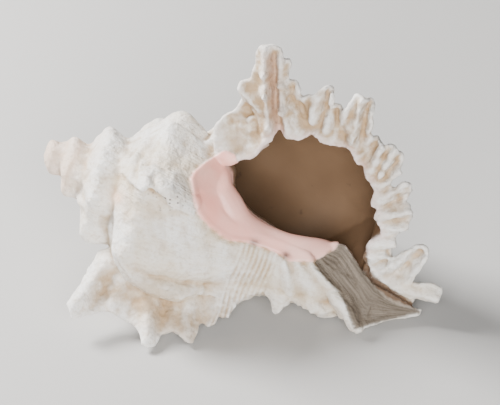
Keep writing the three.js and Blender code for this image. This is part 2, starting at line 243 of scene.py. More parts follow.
def hollowed(outline, back):
    """An outline worn down to the parietal wall near the mouth, one whorl back from the lip."""
    s, r = outline[:, 0], outline[:, 1]
    left = np.interp(s, PARIETAL_WALL[:, 0], PARIETAL_WALL[:, 1])
    ease = ramp(back, PARIETAL_FROM, PARIETAL_FULL) ** 2
    r = np.minimum(r, mix(left, UNWORN_RADIUS, ease))
    if back > CANAL_STEP_FROM:
        start = np.interp(back, CANAL_STEP[:, 0], CANAL_STEP[:, 1])
        canal_left = np.interp(s, CANAL_LEFT[:, 0], CANAL_LEFT[:, 1])
        r = mix(r, np.minimum(r, canal_left), ramp(s, start, start + CANAL_STEP_SPAN))
    return np.stack((s, r), axis=1)


for back in (0, 225, 390, 750, 1110):
    print(f"back {back}: shoulder {shoulder_radius(back):.1f} mm,",
          f"suture at {float(suture_place(back)):.1f} mm")

# %% [markdown]
# Grids bent to the growth laws
#
# A lathe or a screw modifier can't turn an outline that changes shape as it turns. So each whorl starts as
# a flat grid primitive, its rows are laid on the outlines of one growth angle each, its long sides are
# welded and its two ends filled. What comes out is a closed tube that any modifier can work on.


def wake(piece):
    bpy.ops.object.select_all(action="DESELECT")
    piece.select_set(True)
    bpy.context.view_layer.objects.active = piece


def bend_grid(name, points):
    """A grid primitive with its vertices laid on rows of points in millimetres."""
    rows, columns = points.shape[:2]
    bpy.ops.object.select_all(action="DESELECT")
    bpy.ops.mesh.primitive_grid_add(x_subdivisions=columns - 1, y_subdivisions=rows - 1, size=1)
    piece = bpy.context.object
    piece.name = name
    piece.data.vertices.foreach_set("co", (points * MM).astype(np.float32).ravel())
    piece.data.update()
    return piece


def close_tube(piece):
    """Weld the seam of a bent grid, fill both its ends and turn its faces out."""
    wake(piece)
    bpy.ops.object.mode_set(mode="EDIT")
    bpy.ops.mesh.select_all(action="SELECT")
    bpy.ops.mesh.remove_doubles(threshold=0.001 * MM)
    bpy.ops.mesh.fill_holes(sides=0)
    bpy.ops.mesh.select_all(action="SELECT")
    bpy.ops.mesh.normals_make_consistent(inside=False)
    bpy.ops.object.mode_set(mode="OBJECT")
    return piece


def use_modifier(piece, kind, **settings):
    wake(piece)
    modifier = piece.modifiers.new(kind.lower(), kind)
    for key, value in settings.items():
        setattr(modifier, key, value)
    bpy.ops.object.modifier_apply(modifier=modifier.name)


def read_rows(items, key):
    """A vector of each item, as the rows of one table."""
    rows = np.empty(len(items) * 3, np.float32)
    items.foreach_get(key, rows)
    return rows.reshape(-1, 3)


def corners(piece):
    return read_rows(piece.data.vertices, "co").astype(float) / MM


def move_corners(piece, points):
    piece.data.vertices.foreach_set("co", (points * MM).astype(np.float32).ravel())
    piece.data.update()


def corner_normals(piece):
    return read_rows(piece.data.vertex_normals, "vector").astype(float)


def neighbours(piece):
    """The two corners at the ends of each edge."""
    found = np.empty(len(piece.data.edges) * 2, int)
    piece.data.edges.foreach_get("vertices", found)
    return found.reshape(-1, 2)


def face_tree(piece):
    """The faces of a piece, ready to be searched by place or by ray."""
    return BVHTree.FromPolygons([vertex.co.copy() for vertex in piece.data.vertices],
                                [tuple(face.vertices) for face in piece.data.polygons])


def triangle_count(piece):
    return sum(len(face.vertices) - 2 for face in piece.data.polygons)


# %% [markdown]
# The whorls
#
# Two sweeps run from old to young: the spire is every whorl but the last, and the last whorl carries the
# mouth. They overlap a little, so that the skin made later closes over the place where they meet.

# %% Whorls
CORE_RADIUS = 0.6


def closed_ring(outline, radius, count):
    """An outline closed by a straight line near the axis, its first point repeated for the weld."""
    line = np.linspace((outline[-1, 0], radius), (outline[0, 0], radius), count)
    return np.vstack((outline, line, outline[:1]))


def sweep(name, backs, outline_at):
    rings = [outline_at(back) for back in backs]
    points = np.stack([place(ring[:, 0], ring[:, 1], LIP_TURN - back) for ring, back in zip(rings, backs)])
    return close_tube(bend_grid(name, points))


LIP_BACK = 2
FLARE_BACK = 60
SPIRE_FROM, SPIRE_TO = 1500, 310
SPIRE_WORN_TO = 420


def last_whorl_ring(back):
    return closed_ring(hollowed(last_whorl_outline(back), back), CORE_RADIUS, 6)


def spire_ring(back):
    outline = grown_outline(back, False)
    if back < SPIRE_WORN_TO:
        outline = hollowed(outline, min(back, 360))
    return closed_ring(outline, CORE_RADIUS, 4)


last_backs = np.concatenate((
    np.arange(LAST_WHORL_SPAN, FLARE_BACK, -3), np.arange(FLARE_BACK, LIP_BACK - 0.1, -2)))
last_whorl = sweep("last_whorl", last_backs, last_whorl_ring)
spire = sweep("spire", np.arange(SPIRE_FROM, SPIRE_TO, -4.0), spire_ring)
print("last whorl:", len(last_whorl.data.polygons), "faces; spire:", len(spire.data.polygons), "faces")

# %% [markdown]
# The living chamber
#
# The snail's room follows the outside at the thickness of the wall and narrows as it winds in. It is
# one more bent grid, and a Boolean modifier takes it out of the last whorl, which leaves the wide mouth,
# the pillar in the middle and a wall that closes away into the dark.

# %% Living chamber
WALL = 3.0
WALL_GROWTH = 0.02
CAVITY_START_BACK = 270
CAVITY_CORE = 3
CAVITY_LEAST_RADIUS = CAVITY_CORE + 2
CAVITY_REACH = 1.85
MOUTH_SPAN = 26
COLUMELLA = ((30, 8), (118, 8), (140, 6.5), (166, 2.5))
APERTURE_RIM = (
    (76.5, 31), (80, 34), (84, 37), (86, 40), (87.5, 44.5), (88, 48), (88, 53), (91, 55.5), (96.5, 55),
    (99.5, 55), (102.5, 57), (104.5, 59), (107, 59.5), (110.5, 58), (113.5, 59), (116, 58.5),
    (121.5, 60.5), (124.5, 57.5), (126, 55), (129.5, 55.5), (132, 53), (133.5, 51), (136, 51),
    (138, 48.5), (138.5, 45.5), (139.5, 40.5), (143, 36.5), (144, 32.5), (147, 31), (147.5, 28),
    (144.5, 23), (144.5, 19.5), (144.5, 15.5))
MOUTH_TOP, MOUTH_BOTTOM = (75, 25), (146, 12)
CAVITY_STEPS = 48


def cavity_ring(back):
    outside = hollowed(last_whorl_outline(max(back, 0)), back)
    wall = WALL + WALL_GROWTH * back
    start = outside[0, 0] + wall + 1
    end = outside[0, 0] + CAVITY_REACH * shoulder_radius(max(back, 0))
    s = np.linspace(start, end, 24)
    r = np.maximum(np.interp(s, outside[:, 0], outside[:, 1]) - wall, CAVITY_LEAST_RADIUS)
    grown = even_steps(np.stack((s, r), axis=1), CAVITY_STEPS)
    mouth = even_steps((MOUTH_TOP,) + APERTURE_RIM + (MOUTH_BOTTOM,), CAVITY_STEPS)
    return closed_ring(mix(grown, mouth, bell(back, MOUTH_SPAN)), CAVITY_CORE, 6)


cavity_backs = np.concatenate((
    np.arange(CAVITY_START_BACK, FLARE_BACK, -4.0), np.arange(FLARE_BACK, 0, -2), (0, -2, -5)))
chamber = sweep("chamber", cavity_backs, cavity_ring)
pillar_turns = np.arange(0, 361, 10)
pillar = close_tube(bend_grid("pillar", np.stack(
    [place(s, r, -pillar_turns) for s, r in even_steps(COLUMELLA, 20)])))
use_modifier(last_whorl, "BOOLEAN", object=chamber, operation="DIFFERENCE", solver="EXACT")
print("hollowed last whorl:", len(last_whorl.data.polygons), "faces")

# %% [markdown]
# Varices and the frilled lip
#
# Three times a turn the snail stops and flares its lip into a fringe of hollow spines. Each fringe is a
# thin sheet: a grid cut to the fringe's outline, its free edge pulled onto that outline, folded by strokes
# that raise ribs and press in troughs, and thickened with a Solidify modifier, most of all at its foot.

# %% Fringe tools
def stroke_field(x, y, strokes):
    """Sum of strokes (x0, y0, x1, y1, width, height): ribs come to a crest, troughs are round."""
    total = np.zeros_like(x)
    for x0, y0, x1, y1, width, height in strokes:
        along = np.array((x1 - x0, y1 - y0), float)
        length = max(np.hypot(*along), 1e-6)
        t = ((x - x0) * along[0] + (y - y0) * along[1]) / length ** 2
        over = np.maximum(0, np.abs(t - 0.5) - 0.5) * length
        across = ((x - x0) * along[1] - (y - y0) * along[0]) / length
        gap = np.sqrt(across ** 2 + over ** 2) / width
        total += height * (np.exp(-1.2 * gap) if height > 0 else np.exp(-gap ** 2))
    return total


def polyline_gap(x, y, line):
    """Distance to a polyline, and the nearest points on it."""
    points = np.stack((x, y), axis=1)
    best = np.full(len(points), np.inf)
    nearest = points.copy()
    for a, b in zip(line[:-1], line[1:]):
        along = b - a
        t = np.clip(((points - a) @ along) / max(along @ along, 1e-9), 0, 1)
        foot = a + t[:, None] * along
        gap = np.linalg.norm(points - foot, axis=1)
        closer = gap < best
        best[closer] = gap[closer]
        nearest[closer] = foot[closer]
    return best, nearest


def within(x, y, outline):
    """Whether points lie inside a closed outline."""
    inside = np.zeros(len(x), bool)
    for (x0, y0), (x1, y1) in zip(outline, np.roll(outline, -1, axis=0)):
        crosses = (y0 > y) != (y1 > y)
        with np.errstate(divide="ignore", invalid="ignore"):
            inside ^= crosses & (x < (x1 - x0) * (y - y0) / (y1 - y0) + x0)
    return inside


FRINGE_CELL = 0.7


def cut_sheet(name, outline):
    """A flat grid cut to an outline of (s, r), its free edge pulled onto it, and its corners' s and r."""
    low, high = outline.min(axis=0) - FRINGE_CELL, outline.max(axis=0) + FRINGE_CELL
    counts = np.ceil((high - low) / FRINGE_CELL).astype(int) + 1
    s, r = np.meshgrid(*(np.linspace(low[i], high[i], counts[i]) for i in (0, 1)))
    piece = bend_grid(name, np.stack((s, r, np.zeros_like(s)), axis=2))
    middles = read_rows(piece.data.polygons, "center") / MM
    piece.data.polygons.foreach_set("select", ~within(middles[:, 0], middles[:, 1], outline))
    bpy.context.tool_settings.mesh_select_mode = (False, False, True)
    bpy.ops.object.mode_set(mode="EDIT")
    bpy.ops.mesh.delete(type="FACE")
    bpy.ops.object.mode_set(mode="OBJECT")
    bpy.context.tool_settings.mesh_select_mode = (True, False, False)
    sides = np.empty(len(piece.data.loops), int)
    piece.data.loops.foreach_get("edge_index", sides)
    uses = np.bincount(sides, minlength=len(piece.data.edges))
    rim = np.unique(neighbours(piece)[uses == 1])
    flat = corners(piece)
    _, snapped = polyline_gap(flat[rim, 0], flat[rim, 1], np.vstack((outline, outline[:1])))
    flat[rim, :2] = snapped
    return piece, flat[:, 0], flat[:, 1]


def fringe(name, back, edge, foot, lift, foot_width, edge_width, foot_reach):
    """A folded sheet in the half plane of one growth angle, between its foot line and its free edge."""
    piece, s, r = cut_sheet(name, np.vstack((edge, foot[::-1])))
    gap, _ = polyline_gap(s, r, foot)
    move_corners(piece, place(s, r, LIP_TURN - back, lift(s, r, gap)))
    width = edge_width + (foot_width - edge_width) * bell(gap, foot_reach)
    group = piece.vertex_groups.new(name="width")
    for index, share in enumerate(width / foot_width):
        group.add((index,), float(share), "REPLACE")
    use_modifier(piece, "SOLIDIFY", thickness=foot_width * MM, offset=0, vertex_group="width",
                 use_rim=True)
    return piece


# %% Free edges, ribs and troughs of the fringes, as (s, r) in millimetres
LIP_EDGE = np.array((
    (64, 44), (66, 50), (70, 56), (71, 61), (70, 65.5), (67.5, 67.5), (67.5, 70), (69.5, 72), (71, 73),
    (70.5, 76.5), (70.5, 80.5), (68.5, 85.5), (69.5, 89.5), (71, 91.5), (74.5, 92.5), (78, 92.5),
    (80, 91), (81, 88.5), (83.5, 89), (85, 87.5), (85, 83.5), (87.5, 79), (92, 77.5), (93, 76.5),
    (92.5, 73.5), (95, 75), (98, 77.5), (100, 81), (101.5, 83.5), (103.5, 84), (105.5, 82.5),
    (107.5, 80.5), (107.5, 77), (110.5, 77), (112.5, 76.5), (114, 80), (114.5, 84), (115.5, 86.5),
    (118, 87), (120.5, 86.5), (123.5, 84.5), (124.5, 82.5), (125, 79.5), (127, 76), (126.5, 71),
    (130.5, 69), (132, 70.5), (134, 69.5), (135, 68), (136, 70), (138, 71.5), (140, 71), (141, 68.5),
    (144.5, 65.5), (144.5, 62.5), (146, 60.5), (144, 58), (142, 51), (146, 52.5), (147.5, 56.5),
    (149, 58), (151.5, 56), (153, 52.5), (151.5, 46.5), (154, 47), (156.5, 45), (157, 39.5),
    (158, 36), (156, 35), (153.5, 33.5), (155, 31), (154, 29.5), (156, 26.5), (156, 24.5), (153, 23),
    (151, 22), (154.5, 19), (157.5, 21), (160.5, 26), (162.5, 28.5), (165.5, 30.5), (169.5, 29.5),
    (170, 25), (169, 21.5), (168.5, 15.5), (167.5, 11.5), (175.5, 15), (181, 15), (182, 13),
    (181.5, 6.5), (176.5, 6.5), (171, 5.5)))
LIP_FOOT = np.array((((70, 28),) + APERTURE_RIM + (
    (147, 11.5), (151, 8.5), (155, 6.5), (160, 6), (165.5, 5.5), (171, 4.5))), float)
LIP_STROKES = (
    (72, 90.5, 76, 79.5, 1.8, 3), (76, 79.5, 79.5, 71, 1.8, 3.6), (79.5, 71, 86, 56.5, 1.9, 4.2),
    (86, 56.5, 88, 45, 2, 3.6), (77, 88, 82, 74, 2.6, -2),
    (82, 74, 88, 60, 3.4, -2.6), (88, 60, 92, 52, 4, -2.6),
    (79.5, 89, 83.5, 77, 1.7, 2.6), (83.5, 77, 88.5, 66, 1.8, 3.2), (88.5, 66, 95.4, 56, 2, 3),
    (68, 68, 79.5, 61.5, 1.8, 2.5), (74, 58, 83, 47, 4, -3.4), (69, 50, 78, 38, 4, -2),
    (88.5, 77, 91, 71, 2, -3), (95.5, 69, 103, 60, 3, -3.5), (104, 82, 106.5, 64, 1.6, -3.2),
    (106, 82, 109, 64.5, 1.4, 2), (100.5, 78, 102, 65, 1.8, 2.4), (109, 74, 118, 62.5, 2.8, -3.4),
    (118.5, 86, 121.5, 64.5, 1.6, 3.2), (121, 84, 125, 62, 1.8, -3), (114, 82, 114.5, 66, 2, 2),
    (124.5, 82, 127.5, 72, 1.5, 2), (133.5, 54.5, 134, 69, 1.5, 2.5), (130, 58, 130.5, 68, 1.8, -2.6),
    (137.5, 51, 139.5, 71, 1.5, 2.8), (135.8, 54, 136.5, 68, 1.2, -2.6), (139, 49.5, 145, 61, 1.5, 2.4),
    (140, 56, 142, 66, 1.5, -2), (140.5, 42.5, 149.5, 57, 1.8, 3), (143, 39.5, 152, 50.5, 1.5, -3),
    (144, 36.5, 155.5, 45, 1.6, 3), (146, 33.5, 156, 40, 1.4, -2.6), (146.5, 31.5, 157, 36.5, 1.4, 2.4),
    (147, 26, 155, 30.5, 1.4, -2.4), (145.5, 21.5, 155.5, 27, 1.3, 2.6), (146, 18.5, 153, 22, 1.2, -2.6),
    (146.5, 15.5, 153.5, 19.5, 1.3, 2.4), (149, 11.5, 154, 18, 1.2, -2), (152, 9, 158, 18, 1.5, 2),
    (160, 12, 166.5, 27, 2.6, -2.6), (157.5, 14, 162.5, 27.5, 1.4, 2), (166, 12, 169.5, 27, 1.4, 2),
    (163, 7, 181, 10.5, 2.2, 2.4))
FRONT_EDGE = np.array((
    (39, 33), (38, 42), (37, 51), (36, 59), (39, 63.5), (43, 62), (47, 58), (50, 55.5), (55, 54.5),
    (60, 55), (66, 56), (70, 58.5), (72, 62.3), (75, 63), (77, 60), (78, 54), (81, 52), (84, 51.5),
    (87, 52.5), (89.2, 54.3), (91.3, 53), (91.6, 47), (91, 43.5), (92.5, 42), (95, 43.5), (97, 41.5),
    (97, 37.5), (99, 37), (101.3, 35.5), (102, 30), (104, 26.5), (108.5, 21.8), (112, 20), (115, 20.3),
    (117, 22), (118.3, 25.8), (120.6, 25.6), (121.6, 21.5), (123, 18.5), (129, 18), (134, 19.8),
    (138, 19.3), (143, 16), (149, 17), (153, 21), (156, 20.5), (157, 16), (156.5, 12), (156, 8)), float)
FRONT_STROKES = (
    (44, 36, 38, 61, 3, -3.5), (48, 40, 46, 56, 1.6, 2), (52, 36, 54, 54, 2.4, -1.2),
    (60, 38, 62, 55, 1.6, 1.2), (66, 36, 74, 63, 3, -3.5), (72, 38, 78, 54, 1.5, 1.4),
    (77, 36, 82, 53, 2, -1.4), (82, 34, 89, 55, 2.6, -3), (88, 32, 94, 44, 1.6, 1.4),
    (94, 28, 98, 40, 2.4, -1.8), (100, 24, 104, 30, 2, 1), (106, 18, 110, 22, 2, -1),
    (114, 16, 120.5, 24, 2, -3), (126, 14, 136, 19.5, 2.6, -2.2), (144, 10, 154.5, 21, 2.4, -3.4))
BACK_EDGE = np.array((
    (52, 38), (50, 47), (52, 57), (57, 64.5), (62, 63.5), (66, 52), (71, 50), (75, 57), (79, 55.5),
    (82, 46), (86, 45), (90, 49.5), (94, 48), (97, 39), (102, 36), (106, 42), (110, 40.5), (113, 31),
    (119, 27), (124, 31), (128, 22), (137, 18), (143, 21), (147, 14), (156, 9)), float)
BACK_STROKES = (
    (58, 34, 57, 62, 3, -3.2), (66, 34, 68, 51, 2, 1.6), (72, 34, 77, 56, 2.6, -3),
    (82, 32, 84, 45, 2, 1.6), (88, 30, 92, 48, 2.4, -2.8), (97, 28, 100, 37, 2, 1.4),
    (102, 24, 108, 40, 2.2, -2.6), (116, 18, 124, 29, 2, -2.2), (136, 14, 143, 20, 2, -2))

# %% Folds of the fringes
MOUTH_MIDDLE = (112, 33)
BROAD_FOLDS, FINE_FOLDS = 37, 66
CRINKLE = 0.42
VARIX_CRINKLE = 0.6
LIP_STROKE_SHARE, LIP_CRINKLE = 1.45, 1.2


def ripple(s, r, reach):
    """Crinkles that run out from the mouth to the free edge and grow towards it."""
    fan = np.arctan2(r - MOUTH_MIDDLE[1], s - MOUTH_MIDDLE[0])
    fine = np.sin(FINE_FOLDS * fan + 2.2 * np.sin(6 * fan))
    broad = np.sin(BROAD_FOLDS * fan + 2.5 * np.sin(9 * fan))
    return CRINKLE * (fine + 0.7 * broad) * ramp(reach, -4, 10)


def lip_lift(s, r, reach):
    """How far the lip's sheet stands out of its plane; the top spine stays calm."""
    frills = mix(0.35, 1, ramp(reach, 0, 6))
    calm = np.maximum(ramp(s, 88, 96), 0.3)
    return (LIP_STROKE_SHARE * stroke_field(s, r, LIP_STROKES) * frills
            + LIP_CRINKLE * ripple(s, r, reach) * calm)


def varix_lift(strokes):
    """How far a varix stands out of its plane, for its own strokes."""
    return lambda s, r, reach: stroke_field(s, r, strokes) + VARIX_CRINKLE * ripple(s, r, reach)


print("strokes of the lip, front and hidden fringe:",
      len(LIP_STROKES), len(FRONT_STROKES), len(BACK_STROKES))

# %% Fringes
LIP_SHEET_BACK = 0.5
FRONT_BACK = 225
HIDDEN_BACK = 120
FOOT_DEPTH = 3


def body_foot(back):
    outline = last_whorl_outline(back)
    return np.stack((outline[:, 0], np.maximum(outline[:, 1] - FOOT_DEPTH, 2)), axis=1)


def trim_foot(foot, edge):
    """The part of a foot line between the two ends of its free edge."""
    first = np.argmin(np.linalg.norm(foot - edge[0], axis=1))
    last = np.argmin(np.linalg.norm(foot - edge[-1], axis=1))
    return foot[first:last + 1]


lip = fringe(
    "lip", LIP_SHEET_BACK, LIP_EDGE, LIP_FOOT, lip_lift, foot_width=4.6, edge_width=1.8, foot_reach=5)
front_varix = fringe(
    "front_varix", FRONT_BACK, FRONT_EDGE, trim_foot(body_foot(FRONT_BACK), FRONT_EDGE),
    varix_lift(FRONT_STROKES), foot_width=9, edge_width=2.4, foot_reach=8)
hidden_varix = fringe(
    "hidden_varix", HIDDEN_BACK, BACK_EDGE, trim_foot(body_foot(HIDDEN_BACK), BACK_EDGE),
    varix_lift(BACK_STROKES), foot_width=15, edge_width=2.4, foot_reach=9)
print("fringe faces:", [len(piece.data.polygons) for piece in (lip, front_varix, hidden_varix)])

# %% [markdown]
# The canal
#
# Below the mouth the shell draws out into a canal for the snail's breathing pipe. Beside the slot lies a
# broad, thin plate with fine ribs that fan out to the tip. It is a small grid laid between the crest
# along the slot and the plate's lower edge, and thickened with a Solidify modifier.

# %% Canal plate, from its crest to its lower edge, as (s, p, height towards the eye)
PLATE_CREST = ((128, 11, 7.5), (135, 13.5, 8.5), (141, 10, 9), (147, 5.8, 8), (155, 1.6, 6), (162, -0.6, 4),
               (170, -0.5, 2.5), (177, 0, 1.5))
PLATE_LOW_EDGE = ((124, 3, 12), (130, -1, 12.5), (138, -5, 11.5), (143.6, -8, 10), (149, -14, 8),
                  (153, -18.5, 6), (164, -9.5, 3.5), (176, -1.2, 1.2))
PLATE_WIDTH = 2.6
PLATE_SAG = 6


def seen_place(s, p, v):
    """Points from s, the rise p square to the axis in the picture, and the height v towards the eye."""
    across = place(0.0, 1.0, SIGHT_TURN) - APEX
    return APEX + axis * s[..., None] + across * p[..., None] + sight * v[..., None]


sight = place(0.0, 1.0, SIGHT_TURN + 90) - APEX
crest, low_edge = even_steps(PLATE_CREST, 40), even_steps(PLATE_LOW_EDGE, 40)
share = np.linspace(0, 1, 24)[:, None, None]
plate_points = mix(crest[None], low_edge[None], share)
plate_points[..., 2] -= PLATE_SAG * share[..., 0] * (1 - share[..., 0])
plate = bend_grid("plate", seen_place(plate_points[..., 0], plate_points[..., 1], plate_points[..., 2]))
use_modifier(plate, "SOLIDIFY", thickness=PLATE_WIDTH * MM, offset=0)
print("plate:", len(plate.data.polygons), "faces")

# %% [markdown]
# Nodes, rims and the enamel roll
#
# Some forms stand up from the whorl as rounded rolls: the enamel along the mouth, the two knobs of an old
# lip, the rim of the big plateau and the last spine beside the canal. Each is a bent grid closed into a
# tube of changing radius, laid half inside the whorl, so that only its back shows once all are one skin.

# %% Rounded forms, each a tube along stations (s, p, height towards the eye, radius)
ROLL = ((70, 26, 8, 4), (73, 19, 14.5, 6), (76, 13.5, 18, 6.6), (81.5, 9.6, 17.5, 6.8),
        (89.2, 4, 14.8, 6.8), (98.8, 1.6, 12.4, 6.8), (106, 1.4, 11.6, 6.6), (112, 1.8, 11.4, 6.4),
        (119, 3.4, 10.2, 6.2), (127.5, 6.4, 7, 5.4), (133.3, 7.4, 4.5, 4.5))
UPPER_NODE = ((31.5, 12.8, 16.5, 1.2), (34, 11, 19.5, 2.2), (37.5, 8.5, 24, 3), (42, 5, 30.5, 3.4),
              (48, 1.5, 36, 3))
LOWER_NODE = ((42.5, 14, 24, 1.4), (44.5, 10, 33, 3), (46.9, 4.5, 37, 3))
SHOULDER = ((38, 4, 24, 3.5), (39.5, 9.8, 23, 3.8), (41, 16, 18.5, 3.8), (42, 22, 14, 3.5))
LAST_SPINE = ((137, -7.5, 11.5, 2), (141, -9.8, 11.5, 2.6), (145, -11.8, 11.2, 2.9), (150.5, -15.4, 10, 2.8),
              (153.5, -18, 8.6, 2.4))
SHIELD_RIM = ((45, -22, 25, 2), (48, -26.5, 24, 4), (53.5, -30.6, 20, 4.8), (60.6, -33, 17, 5.2),
              (66, -33.8, 16.6, 5), (72.2, -33.2, 16, 5.2), (78, -32, 14.5, 4.6), (83, -29, 13, 3.4),
              (87, -26, 11, 1.6))
SPIRE_FRILL = ((20.5, -11.5, 6.5, 1.6), (23, -13, 10.5, 2.6), (26, -13.6, 14, 3), (29, -13.6, 15.5, 2.2),
               (32, -13, 16.5, 2.8), (35.5, -9.8, 17.5, 1.8), (38.5, -6, 18.5, 1))
TUBE_STEP = math.radians(20)


def tube(name, stations):
    """A closed tube whose rings stand square to its line, as seen from the eye."""
    line = even_steps(stations, 26)
    along = np.gradient(line[:, :2], axis=0)
    along /= np.linalg.norm(along, axis=1)[:, None]
    around = np.arange(0, 2 * math.pi + 0.01, TUBE_STEP)
    side, front = line[:, 3:] * np.cos(around), line[:, 3:] * np.sin(around)
    return close_tube(bend_grid(name, seen_place(
        line[:, :1] - along[:, 1:] * side, line[:, 1:2] + along[:, :1] * side, line[:, 2:3] + front)))


tubes = [tube(name, stations) for name, stations in (
    ("roll", ROLL), ("upper_node", UPPER_NODE), ("lower_node", LOWER_NODE), ("shoulder", SHOULDER),
    ("last_spine", LAST_SPINE), ("shield_rim", SHIELD_RIM), ("spire_frill", SPIRE_FRILL))]
print("tubes:", [len(piece.data.polygons) for piece in tubes])

# %% [markdown]
# The worn apex
#
# The first whorls of an old shell are worn to a blunt button. A small ball over the spire's tip is enough,
# because the skin made next rounds the two into one.

# %% Apex
APEX_S = 6.6
APEX_RADIUS = 6.8
bpy.ops.object.select_all(action="DESELECT")
bpy.ops.mesh.primitive_ico_sphere_add(subdivisions=4, radius=APEX_RADIUS * MM)
tip = bpy.context.object
tip.name = "tip"
move_corners(tip, corners(tip) + place(APEX_S, 0.0, 0.0))
print("tip:", len(tip.data.polygons), "faces")

# %% [markdown]
# One skin
#
# In life all of this is one piece that grew without a seam. The parts are joined and a voxel Remesh
# modifier wraps them in one even skin of small cells, which later relief can push and pull anywhere.

# %% Join and remesh
SKIN_CELL = 0.55
chamber_skin = face_tree(chamber)
bpy.data.objects.remove(chamber)
bpy.ops.object.select_all(action="DESELECT")
for piece in (last_whorl, spire, pillar, lip, front_varix, hidden_varix, plate, tip, *tubes):
    piece.select_set(True)
bpy.context.view_layer.objects.active = last_whorl
bpy.ops.object.join()
shell = last_whorl
shell.name = "shell"
use_modifier(shell, "REMESH", mode="VOXEL", voxel_size=SKIN_CELL * MM)
print("skin:", len(shell.data.polygons), "faces")

# %% [markdown]
# Relief
#
# The skin's corners are read as one table of numbers. Each corner's place in the shell says what it grew
# as: the plateaus of old lips end in steps, the callus is a thin coat laid over the pillar side, and
# cords run round the base. Each is a height in millimetres, by which a corner moves outwards.

# %% Where each corner lies
LIP_PLANE_NORMAL = place(0.0, 0.0, LIP_TURN, 1.0) - APEX
# The chamber's look is full up to one distance off its wall, in mm, and gone at the other. A corner counts
# as facing the chamber where its normal and the wall's agree less than SAME_WAY.
CHAMBER_REACH, CHAMBER_EDGE = 0.9, 1.5
OUTSIDE_GAP = 0.9
SAME_WAY = 0.3


def depth_at(points):
    """Distance behind the plane of the finished lip."""
    return -(points - APEX) @ LIP_PLANE_NORMAL


def read_skin(piece):
    """Each corner's place in the shell, and how far it lies outside the living chamber."""
    points, normals = corners(piece), corner_normals(piece)
    s, r, turn = shell_place(points)
    image_turn = np.radians(turn - SIGHT_TURN)
    p, v = r * np.cos(image_turn), r * np.sin(image_turn)
    hits = [chamber_skin.find_nearest(Vector(point * MM)) for point in points]
    feet = np.array([hit[0][:] for hit in hits]) / MM
    away = np.array([hit[1][:] for hit in hits])
    outside = np.einsum("ij,ij->i", points - feet, away)
    gap = np.linalg.norm(points - feet, axis=1) * np.sign(outside)
    faces_in = np.einsum("ij,ij->i", normals, away) < SAME_WAY
    chamber = (ramp(gap, CHAMBER_EDGE, CHAMBER_REACH) * ramp(depth_at(points), -0.5, 1.5)
               * (faces_in | (gap < -1)))
    seen = ramp(normals @ sight, 0, 0.25) * ramp(v, 4, 8) * (gap > OUTSIDE_GAP)
    on_last_whorl = ramp(s - suture_place((LIP_TURN - turn) % 360), 1, 6)
    return points, normals, s, r, turn, p, v, gap, chamber, seen, on_last_whorl


points, normals, s, r, turn, p, v, gap, chamber, seen, on_last_whorl = read_skin(shell)
print("corners:", len(points), "of them in the chamber:", int((chamber > 0.5).sum()))

# %% Steps and nodes of old lips, as (s, p) in millimetres on the side that faces up and forward
NODE_STEP = np.array((
    (31.5, 10.5), (34.5, 6), (39.5, 2.5), (44, 1.5), (47.5, 1.2), (50, 4.2), (54, 3), (58, 1.5),
    (62, -0.5), (65.5, 0)))
SHIELD_STEP = np.array((
    (36, -3.9), (38.5, -9.6), (40, -15.4), (43, -21.2), (48, -28.3), (54, -33.2), (60, -36),
    (66, -37), (74, -36.2), (80, -34), (84, -30.4), (90, -27.4)))
NODE_STROKES = (
    (57, 12, 60, 3, 5, 2.6), (62, 10, 64, 2, 4, 1.5),
    (34, 7, 37, 3, 1.5, -1.5), (50, 8, 52, 4.5, 2, -2), (114, -2, 122.5, -14, 2.6, 2))
KNOB_STROKES = ((46, 28, 49.5, 41, 4, 3.4), (58, 32, 64, 38, 3, 1.2), (33, 24, 34, 31, 3, 2))
NODE_STEP_HEIGHT, NODE_STEP_REACH = 3.0, 7
SHIELD_STEP_HEIGHT, SHIELD_STEP_REACH = 1.9, 12
BODY_RADIUS = 60
SPIRE_FRILL_IMAGE_TURN = 116
SPIRE_FRILL_HEIGHT = 3
SPIRE_FRILL_PITCH = 4.4


def step_height(s, p, edge, height, reach):
    """Height above a free edge: full at the edge on its upper side, none below, fading upwards."""
    points = np.stack((s, p), axis=1)
    gap, _ = polyline_gap(s, p, edge)
    above = np.interp(s, edge[:, 0], edge[:, 1]) < p
    inside_span = (s > edge[0, 0] - 6) & (s < edge[-1, 0] + 6)
    return height * np.exp(-(gap / reach) ** 2) * above * inside_span


body = seen * on_last_whorl * (r < BODY_RADIUS)
outward = place(np.zeros_like(s), np.ones_like(s), turn) - APEX
raised = body * (
    step_height(s, p, NODE_STEP, NODE_STEP_HEIGHT, NODE_STEP_REACH)
    + step_height(s, p, SHIELD_STEP, SHIELD_STEP_HEIGHT, SHIELD_STEP_REACH)
    + stroke_field(s, p, NODE_STROKES))
raised += stroke_field(s, p, KNOB_STROKES) * on_last_whorl * ramp(v, -8, 0) * (gap > OUTSIDE_GAP)

image_turn = np.mod(turn - SIGHT_TURN, 360)
frill_rise = ramp(image_turn, 80, SPIRE_FRILL_IMAGE_TURN) ** 1.6
frill_drop = ramp(image_turn, SPIRE_FRILL_IMAGE_TURN + 5, SPIRE_FRILL_IMAGE_TURN)
frill_span = ramp(s, 15, 18) * ramp(s, 35, 31) * (1 - on_last_whorl) * (r > 8)
frill_folds = 0.65 + 0.35 * np.sin(2 * np.pi * s / SPIRE_FRILL_PITCH)
raised += SPIRE_FRILL_HEIGHT * frill_rise * frill_drop * frill_span * frill_folds
move_corners(shell, points + outward * raised[:, None])
use_modifier(shell, "REMESH", mode="VOXEL", voxel_size=SKIN_CELL * MM)
points, normals, s, r, turn, p, v, gap, chamber, seen, on_last_whorl = read_skin(shell)
print("steps and nodes rise up to", round(float(raised.max()), 1), "mm")

